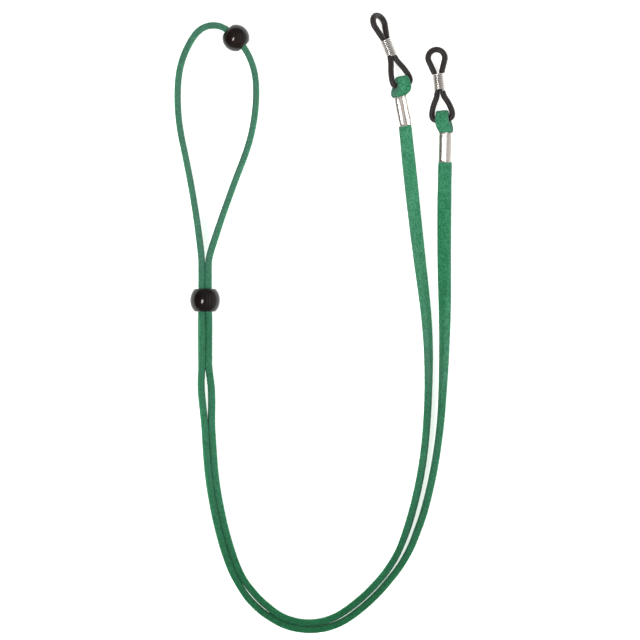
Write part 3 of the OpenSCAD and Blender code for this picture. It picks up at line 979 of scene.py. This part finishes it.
def fold_piece(fit):
    """The lace's end, folded over the elastic cord and back into the ferrule."""
    ferrule = ferrule_frame(fit)
    foot, axes = ferrule
    eye_origin, eye_axes = eye_frame(fit)
    eye_axes = eye_axes @ turn_z(fit.fold_turn) @ turn_x(fit.fold_roll)
    path = fold_path(ferrule, (eye_origin, eye_axes))

    # the upper layer bulges sideways between the ferrule and the cord
    x = (path - foot) @ axes[:, 0]
    is_top = (path - foot) @ axes[:, 2] > 0
    bulge = fit.front * is_top * np.exp(-((x - FERRULE_LEN - 1.3) / 0.9) ** 2)
    path = path + axes[:, 1] * bulge[:, None]

    # the width direction turns from the ferrule's to the eye's
    tangent = tangents(path)
    share = ease(x, FERRULE_LEN + 0.1, FERRULE_LEN + 3.1)[:, None]
    across = square_to(unit(axes[:, 1] * (1 - share) + eye_axes[:, 1] * share), tangent)
    out = np.cross(across, tangent)

    # narrow in the ferrule, fullest just above it, a little drawn in over the cord
    rings = len(path)
    past_eye = (path - eye_origin) @ eye_axes[:, 0]
    full = ease(x, FERRULE_LEN - 0.5, FERRULE_LEN + 0.9)
    width = 3.70 + (LACE_W + 0.02 - 3.70) * full - 0.30 * ease(past_eye, -1.2, 2.0)
    thickness = 1.52 + (1.82 - 1.52) * full
    # the folded-back end thins out
    in_tail = ease(x, 4.9, 3.5) * (np.arange(rings) > rings / 2)
    thickness = thickness - (thickness - 0.58) * in_tail
    outline = lace_outline(radius=0.62)
    section = scaled_outline(outline, width, thickness)
    # the edges curl outward over the cord
    from_middle = np.abs(outline[:, 0]) / (LACE_W / 2)
    section[:, :, 1] += 0.10 * ease(past_eye, -0.6, 1.0)[:, None] * from_middle[None, :] ** 2

    points = sweep(path, across, out, section)
    points, rough = add_nap(points, outward(outline, across, out), height=0.045, scale=1.5)
    points = press_in(points, fit)
    edge = np.tile(cut_edge(outline, start=0.5), rings)
    obj = new_object(f"lace_{fit.side}_eye", points, capped_faces(rings, LACE_SIDES), "suede",
                     {"edge": edge, "nap_and_painted_light": rough, "painted_shade": 0 * edge})
    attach(obj, f"{fit.side}_arm")


# ------------------------------------------------------------------ ferrules
# stations from one end, close together where the end is belled
END_STATIONS = (0.0, 0.03, 0.08, 0.14, 0.21, 0.30, 0.40, 0.52, 0.66, 0.80, 0.98)
HEM_POINTS = 7


def hem_offsets(normal, side):
    """Half-round hem, as offsets from the middle of the wall's end."""
    along = np.array([-normal[1], normal[0]])
    return np.array([(WALL / 2) * (side * normal * cosd(a) + along * sind(a))
                     for a in np.linspace(0, 180, HEM_POINTS + 2)[1:-1]])


def ferrule_section(x, middle, normal, angle, hems):
    """Cut through the strip at x: outer wall, hem, inner wall, hem."""
    from_end = min(x, FERRULE_LEN - x)
    # ends belled outward and faintly scalloped, with a waist behind the bell
    bell = 0.15 * math.exp(-(from_end / 0.20) ** 1.5)
    scallop = 1 + 0.42 * np.cos(angle * 9)
    waist = 0.07 * math.exp(-((from_end - 0.72) / 0.30) ** 2)
    dents = 0.02 * np.cos(angle * 4 + 0.6) * math.sin(math.pi * x / FERRULE_LEN)
    thin = 1 - 0.72 * math.exp(-(from_end / 0.075) ** 1.3)
    centre = middle + normal * (bell * scallop - waist + dents)[:, None]
    half = normal * (WALL / 2 * thin)
    return np.vstack([centre + half, centre[-1] + thin * hems[0],
                      (centre - half)[::-1], centre[0] + thin * hems[1]])


def rim_faces(base, order):
    """End rim, from outer wall to inner wall. Order is 1 or -1 for the way round."""
    outer = [base + i for i in range(WALL_POINTS)]
    hem_end = [base + WALL_POINTS + i for i in range(HEM_POINTS)]
    inner = [base + 2 * WALL_POINTS + HEM_POINTS - 1 - i for i in range(WALL_POINTS)]
    hem_start = [base + 2 * WALL_POINTS + HEM_POINTS + i for i in range(HEM_POINTS)]
    faces = [(outer[i], outer[i + 1], inner[i + 1], inner[i])[::order]
             for i in range(WALL_POINTS - 1)]
    faces.append(tuple([outer[-1]] + hem_end + [inner[-1]])[::order])
    faces.append(tuple([inner[0]] + hem_start + [outer[0]])[::order])
    return faces


def ferrule_piece(fit):
    foot, axes = ferrule_frame(fit)
    outer, inner = ferrule_wall(0.0, fit.sign), ferrule_wall(-WALL, fit.sign)
    middle = (outer + inner) / 2
    normal = unit(outer - inner)
    angle = np.arctan2(middle[:, 1], middle[:, 0])
    hems = hem_offsets(normal[-1], 1), hem_offsets(normal[0], -1)
    ends = np.array(END_STATIONS)
    stations = np.r_[ends, np.linspace(1.3, FERRULE_LEN - 1.3, 22), FERRULE_LEN - ends[::-1]]
    section = np.array([ferrule_section(x, middle, normal, angle, hems) for x in stations])
    rings, sides = section.shape[:2]
    path = foot + stations[:, None] * axes[:, 0]
    points = sweep(path, axes[None, :, 1], axes[None, :, 2], section)
    faces = tube_faces(rings, sides) + rim_faces(0, 1) + rim_faces((rings - 1) * sides, -1)
    wall = np.arange(WALL_POINTS)
    ring_across = np.r_[wall, np.full(HEM_POINTS, WALL_POINTS), wall[::-1], np.zeros(HEM_POINTS)]
    obj = new_object(f"ferrule_{fit.side}", points, faces, "ferrule_metal",
                     {"across": np.tile(ring_across / WALL_POINTS, rings)}, recalc=True)
    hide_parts(f"{fit.side}_ferrule")
    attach(obj, f"{fit.side}_arm")


# ------------------------------------------------------------------ elastic loops
LOOP_R = 2.49                   # round end of the upper loop
LOOP_REACH = 21.1               # from the bar to the upper tip's centre line
TIP_CENTRE = LOOP_REACH - LOOP_R
TIP_TILT = 22.0                 # the round end starts this far before its widest point
BAR_HALF, CORNER_R = 1.75, 1.32
NECK_HALF = 0.62                # from the middle to each cord's centre in the neck
COIL_AT = 10.95
MIRROR = [1, -1]
LEAN_FROM = 2.5


def half_cord():
    """One side of the figure of eight, (along, across), from the bar's centre to the tip."""
    bar = np.linspace((0.0, 0.0), (0.0, BAR_HALF), 8)
    corner = [(CORNER_R - CORNER_R * cosd(a), BAR_HALF + CORNER_R * sind(a))
              for a in np.linspace(0, 78, 14)]
    corner_end = np.array(corner[-1])
    tilt_cos, tilt_sin = cosd(TIP_TILT), sind(TIP_TILT)
    tip_start = np.array([TIP_CENTRE - LOOP_R * tilt_sin, LOOP_R * tilt_cos])
    tip = [(TIP_CENTRE + LOOP_R * cosd(a), LOOP_R * sind(a))
           for a in np.linspace(90 + TIP_TILT, 0, 30)]
    curves = [
        corner,
        bezier((corner_end, corner_end + np.array([0.95, 0.20]), (4.05, 2.62), (5.55, 1.72)), 16),
        bezier(((5.55, 1.72), (6.35, 1.24), (6.9, 1.02), (7.75, 0.90)), 10),
        bezier(((7.75, 0.90), (8.1, 0.80), (8.35, 0.66), (9.0, NECK_HALF)), 6),
        np.linspace((9.0, NECK_HALF), (12.9, NECK_HALF), 10),
        bezier(((12.9, NECK_HALF), (13.35, 0.66), (13.5, 0.80), (13.95, 0.99)), 6),
        bezier(((13.95, 0.99), (14.6, 1.27),
                tip_start - 1.5 * np.array([tilt_cos, tilt_sin]), tip_start), 14),
        tip,
    ]
    return np.vstack([bar] + [curve[1:] for curve in curves])


def cord_half(name, fit, line):
    """Sweeps the cord along one loop of the figure of eight."""
    coil = COIL_AT + fit.coil
    origin, axes = loop_frame(fit)

    def place(along, across, through):
        """Loop plane to world. The upper loop is turned on the neck, and the whole leans."""
        twist = np.radians(fit.twist * ease(along, coil - 3.3, coil + 2.9))
        y = (across * np.cos(twist) - through * np.sin(twist)
             + fit.lean * np.clip(along - LEAN_FROM, 0, 99))
        z = across * np.sin(twist) + through * np.cos(twist)
        return origin + np.stack([along, y, z], -1) @ axes.T

    _, line = resample(line, CORD_STEP)
    tangent = tangents(line)
    normal = np.stack([-tangent[:, 1], tangent[:, 0]], 1)
    along = line[:, 0]
    # squeezed half-round inside the coil
    squeeze = ease(along, coil - 3.25, coil - 2.25) * ease(along, coil + 3.2, coil + 2.2)
    radius = CORD_R + fit.thick * ease(along, coil + 3.2, coil + 5.2)
    flat_radius = radius + (0.62 - radius) * squeeze
    tall_radius = radius + (1.02 - radius) * squeeze
    angle = np.arange(CORD_SIDES) * 2 * math.pi / CORD_SIDES
    # moulding line round the cord's middle
    ridge = 0.018 * np.exp(-((np.abs(np.sin(angle)) / 0.12) ** 2)) * np.sign(np.cos(angle))
    aside = flat_radius[:, None] * np.cos(angle)[None] + ridge[None]
    points = place(along[:, None] + normal[:, None, 0] * aside,
                   line[:, None, 1] + normal[:, None, 1] * aside,
                   tall_radius[:, None] * np.sin(angle)[None]).reshape(-1, 3)
    centre = np.repeat(place(along, line[:, 1], 0 * along), CORD_SIDES, 0)
    points, _ = add_nap(points, unit(points - centre), height=0.012, scale=1.1, seed=5.0)
    return new_object(name, points, capped_faces(len(line), CORD_SIDES), "elastic_cord")


def cord_pieces(fit):
    """The figure of eight, split in the neck into an upper and a lower loop."""
    coil = COIL_AT + fit.coil
    line = half_cord()
    # the lower loop stretches for most of the coil's shift, the neck for the rest
    low_stretch = 0.75 * fit.coil
    line[:, 0] += (low_stretch * ease(line[:, 0], 2.2, 6.8)
                   + (fit.longer - low_stretch) * ease(line[:, 0], 9.4, 12.6))
    _, line = resample(line, CORD_STEP)
    line = gauss_smooth(line, 1.6)
    line[[0, -1], 1] = 0.0
    cut = int(np.argmin(np.abs(line[:, 0] - coil) + 10 * (line[:, 1] > 0.7)))
    low, high = line[:cut + 1], line[cut:]
    name = f"temple_loop_{fit.side}"
    upper = cord_half(f"{name}_upper", fit, np.vstack([high, high[::-1][1:] * MIRROR]))
    lower = cord_half(f"{name}_lower", fit, np.vstack([low[::-1] * MIRROR, low[1:]]))
    frame = loop_frame(fit)
    for obj, start, end in ((upper, coil + 3.2, coil + 7.5), (lower, coil - 3.3, 2.6)):
        metres(world_point(frame, start, 0, 0))
        metres(world_point(frame, end, 0, 0))
        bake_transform(obj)
    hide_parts(f"{fit.side}_temple_loop")


# ------------------------------------------------------------------ coils
COIL_TURNS, COIL_PITCH, COIL_R, WIRE_R = 9.5, 0.53, 1.59, 0.25


def coil_piece(fit):
    origin, axes = loop_frame(fit)
    count = int(COIL_TURNS * COIL_STEPS) + 1
    k = np.arange(count)
    turn = 2 * math.pi * k / COIL_STEPS + fit.coil_phase
    uneven = drift(k, rate=0.021, y=fit.coil_phase, z=2.0)
    x = COIL_AT + fit.coil + COIL_PITCH * (k / COIL_STEPS - COIL_TURNS / 2) + 0.02 * uneven
    radius = COIL_R + 0.012 * uneven
    # the wire tapers at both cut ends
    from_end = np.minimum(k, count - 1 - k) / COIL_STEPS
    wire = WIRE_R * (1 - 0.55 * np.exp(-(from_end / 0.012)))
    centre = np.stack([x, radius * np.cos(turn), radius * np.sin(turn)], 1)
    tangent = tangents(centre)
    radial = unit(np.stack([np.zeros(count), np.cos(turn), np.sin(turn)], 1))
    first = square_to(radial, tangent)
    angle = np.arange(COIL_SIDES) * 2 * math.pi / COIL_SIDES
    section = wire[:, None, None] * np.stack([np.cos(angle), np.sin(angle)], -1)[None]
    points = sweep(centre, first, np.cross(tangent, first), section)
    points[:, 1] += fit.lean * (points[:, 0] - LEAN_FROM)
    points = origin + points @ axes.T
    across = np.tile(np.arange(COIL_SIDES) / COIL_SIDES, count)
    obj = new_object(f"coil_wire_{fit.side}", points, capped_faces(count, COIL_SIDES),
                     "coil_wire", {"across": across})
    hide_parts(f"{fit.side}_coil")
    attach(obj, f"{fit.side}_spring")


# ------------------------------------------------------------------ beads
SLIDER_R, SLIDER_L, SLIDER_BORE = 4.4, 6.7, 2.52
SLIDER_CROWN = 5.2              # radius of the slider's bulging side
ROUND_R, ROUND_BORE = 4.0, 1.86
BEAD_TURN, BEAD_OFFSET = 10.5, -0.12    # round bead's place along its arc and beside it


def lathe(name, profile, centre, axis, body, node):
    """Closed profile of (radius, height) turned about a level axis."""
    axis = unit(np.array(axis, float))
    first = unit(np.cross(axis, [0.0, 0.0, 1.0]))
    second = np.cross(axis, first)
    profile = np.array(profile)
    angle = (np.arange(LATHE_STEPS) * 2 * math.pi / LATHE_STEPS)[:, None, None]
    radial = np.cos(angle) * first + np.sin(angle) * second
    points = (np.array(centre) + profile[None, :, 0:1] * radial
              + profile[None, :, 1:2] * axis).reshape(-1, 3)
    count = len(profile)
    faces = []
    for i in range(LATHE_STEPS):
        here, there = i * count, (i + 1) % LATHE_STEPS * count
        for j in range(count):
            k = (j + 1) % count
            faces.append((here + j, there + j, there + k, here + k))
    obj = new_object(name, points, faces, name, recalc=True)
    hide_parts(node)
    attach(obj, body)


def fillet(corners, steps=8):
    """Closed polygon of (point, radius) corners, each rounded by its radius."""
    points = []
    for i, (corner, radius) in enumerate(corners):
        if radius == 0:
            points.append(corner)
            continue
        back = unit(corners[i - 1][0] - corner)
        ahead = unit(corners[(i + 1) % len(corners)][0] - corner)
        half = math.acos(float(np.clip((back * ahead).sum(), -1, 1))) / 2
        trim = radius / math.tan(half)
        centre = corner + unit(back + ahead) * (radius / math.sin(half))
        start, end = (math.atan2(*(corner + way * trim - centre)[::-1]) for way in (back, ahead))
        sweep_angle = (end - start + math.pi) % (2 * math.pi) - math.pi
        for share in np.linspace(0, 1, steps):
            angle = start + sweep_angle * share
            points.append(centre + radius * np.array([math.cos(angle), math.sin(angle)]))
    return points


def bulge_points(centre, radius, half_height, count):
    """Arc of a bead's outer side, from its lower to its upper flat."""
    limit = math.asin(half_height / radius)
    return [np.array([centre + radius * math.cos(angle), radius * math.sin(angle)])
            for angle in np.linspace(-limit, limit, count)]


def slider_profile():
    half = SLIDER_L / 2
    outer = bulge_points(SLIDER_R - SLIDER_CROWN, SLIDER_CROWN, half, 40)
    # rows near the ends of the arc give way to the fillets
    corners = [(np.array([SLIDER_BORE, half]), 0.45), (np.array([SLIDER_BORE, -half]), 0.45),
               (outer[0], 0.70)]
    corners += [(point, 0) for point in outer[6:34]]
    corners.append((outer[-1], 0.70))
    return fillet(corners)


def round_profile():
    outer = bulge_points(0, ROUND_R, math.sqrt(ROUND_R ** 2 - ROUND_BORE ** 2), 60)
    corners = [(outer[-1], 0.22), (outer[0], 0.22)]
    corners += [(point, 0) for point in outer[3:-3]]
    return fillet(corners)


def bead_pieces():
    lathe("bead_slider", slider_profile(), SLIDER_CENTRE, (0, 1, 0), "slider", "slider_bead")
    # the round bead's bore follows the arc of the loop it sits on
    arc_start = reach(LOOP_START, LOOP[:BEAD_SEGMENT])
    pose = step(arc_start, (BEAD_ARC_R * math.radians(BEAD_TURN), -BEAD_TURN))
    x, y, heading = beside(pose, BEAD_OFFSET)
    lathe("bead_round", round_profile(), (x, y, LIFT), (cosd(heading), sind(heading), 0),
          "bead", "round_bead")


# ------------------------------------------------------------------ stage, light, camera
FLOOR_SIZE, FLOOR_CLEARANCE = 6.0, 0.00002
FLOOR_GLOW = 0.75
WORLD_LEVEL = 0.68
VIEW_WIDTH = 0.1884             # width of the view, in metres
# Studio cards overhead: degrees from straight up (-90 is -X, 90 is +X), grey level
STUDIO_CARDS = (
    (-90, 0.10), (-27, 0.13), (-20, 0.78), (-12, 0.80), (-6, 0.26), (8, 0.30),
    (12, 0.92), (22, 0.90), (25, 0.50), (31, 0.52), (36, 1.20), (52, 1.10),
    (55, 0.62), (62, 0.62), (66, 1.20), (90, 0.95))
FAR_WALL = (0.42, 0.415, 0.405)

middle_x, middle_y = (cad_lo[0] + cad_hi[0]) / 2, (cad_lo[1] + cad_hi[1]) / 2


def floor_material():
    """A lit table: the floor glows softly, so the shadows stay faint."""
    graph = material_graph("floor_paper")
    mottle = graph.noise(graph.coordinates(), scale=6.0, detail=3, rough=0.5)
    colour = graph.ramp(mottle, [(0.3, (0.93, 0.93, 0.925)), (0.7, (0.95, 0.95, 0.945))])
    return graph.finish({
        "Base Color": colour, "Roughness": 0.9, "Specular IOR Level": 0.1,
        "Emission Color": colour, "Emission Strength": FLOOR_GLOW})


def add_floor():
    material = floor_material()
    mesh = bpy.data.meshes.new("floor")
    half = FLOOR_SIZE / 2
    corners = [(-half, -half, 0), (half, -half, 0), (half, half, 0), (-half, half, 0)]
    mesh.from_pydata(corners, [], [(0, 1, 2, 3)])
    obj = bpy.data.objects.new("floor", mesh)
    bpy.context.scene.collection.objects.link(obj)
    lowest = min(cad_lo[2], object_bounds()[0][2])
    obj.location = (middle_x, middle_y, lowest - FLOOR_CLEARANCE)
    mesh.materials.append(material)


def add_world():
    """Dark card towards -X, bright cards and gaps elsewhere, grey walls at both ends of Y."""
    world = bpy.data.worlds.new("studio")
    bpy.context.scene.world = world
    graph = Graph(world, "OutputWorld", "Background")
    x, y, z = graph.node("SeparateXYZ", {0: graph.coordinates("Generated")}).outputs
    angle = graph.math("ARCTAN2", x, z)
    share = graph.plus(graph.math("DIVIDE", angle, math.pi), 0.5)
    cards = graph.ramp(share, [(0.5 + degrees / 180.0, (grey, grey * 0.985, grey * 0.965))
                               for degrees, grey in STUDIO_CARDS])
    # the cards end before the two far walls
    far = graph.ramp(graph.math("ABSOLUTE", y), [(0.40, 0), (0.78, 1)])
    graph.finish({"Color": graph.mix(far, cards, FAR_WALL), "Strength": WORLD_LEVEL})


def add_area(name, offset, size, power, turn=0.0, mirrored=True):
    """Area light at an offset from the middle of the floor, aimed at it."""
    light = bpy.data.lights.new(name, "AREA")
    light.shape = "RECTANGLE"
    light.size, light.size_y = size
    light.energy = power
    obj = bpy.data.objects.new(name, light)
    bpy.context.scene.collection.objects.link(obj)
    location = (middle_x + offset[0], middle_y + offset[1], offset[2])
    obj.location = location
    obj.visible_glossy = mirrored
    aim = (Vector((middle_x, middle_y, 0.0)) - Vector(location)).to_track_quat("-Z", "Y")
    spin = Matrix.Rotation(math.radians(turn), 3, "Z").to_quaternion()
    obj.rotation_euler = (aim @ spin).to_euler()


def add_camera():
    """Looks straight down through a long lens."""
    lens = bpy.data.cameras.new("camera")
    camera = bpy.data.objects.new("camera", lens)
    bpy.context.scene.collection.objects.link(camera)
    lens.lens = 250
    lens.sensor_width = 36
    lens.clip_end = 20
    distance = VIEW_WIDTH * lens.lens / lens.sensor_width
    camera.location = (middle_x + 0.00148, middle_y + 0.00098, distance + 0.003)
    bpy.context.scene.camera = camera


# ------------------------------------------------------------------ build
lace_pieces()
for build_piece in (fold_piece, ferrule_piece, cord_pieces, coil_piece):
    for arm_fit in FITS:
        build_piece(arm_fit)
bead_pieces()

add_floor()
add_world()
add_area("key", offset=(-0.38, -0.14, 0.92), size=(0.18, 0.40), power=5.9, turn=50)
add_area("fill", offset=(0.70, 0.15, 0.75), size=(0.60, 0.90), power=2.6, mirrored=False)
add_camera()
bpy.context.scene.view_settings.view_transform = "Standard"
bpy.context.scene.view_settings.look = "None"
